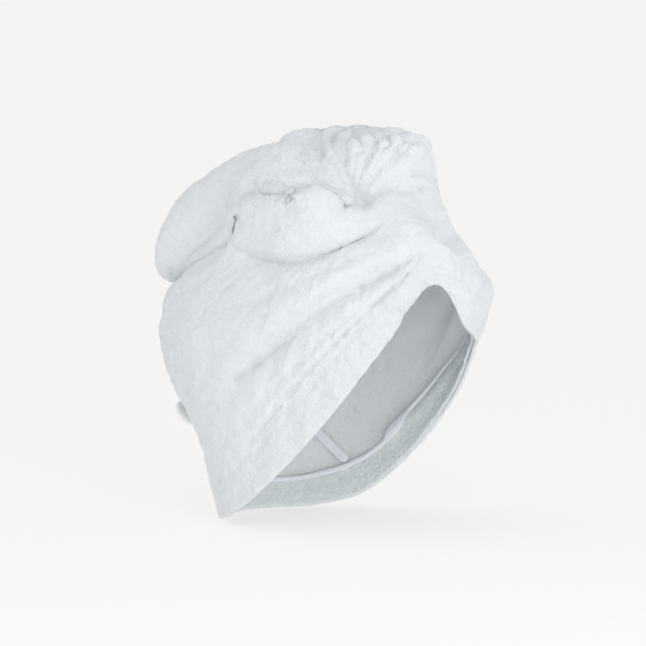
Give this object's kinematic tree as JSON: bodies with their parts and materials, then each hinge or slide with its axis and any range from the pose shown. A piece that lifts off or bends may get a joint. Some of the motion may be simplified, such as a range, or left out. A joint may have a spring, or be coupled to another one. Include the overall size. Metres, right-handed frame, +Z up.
{
  "type": "microfibre hair towel",
  "caption": "Terry head wrap in its worn form: an open hood with a turned hem, and a twisted tail laid back over the crown to a nape button.",
  "frame": {"origin": "middle of the opening that the head goes into, at the rim's mean height", "axes": "+Z up, the wearer faces -Y, and the wearer's left is +X"},
  "size_m": [0.1946, 0.2697, 0.2792],
  "materials": {
    "terry": "matt looped pile",
    "thread": "matt",
    "button": "satin"
  },
  "bodies": {
    "root": {"hood": "terry", "tail": "terry", "rim_facing": "terry", "hem_seam": "thread", "back_seam": "thread", "button": "button", "loop": "thread"}
  },
  "joints": []
}
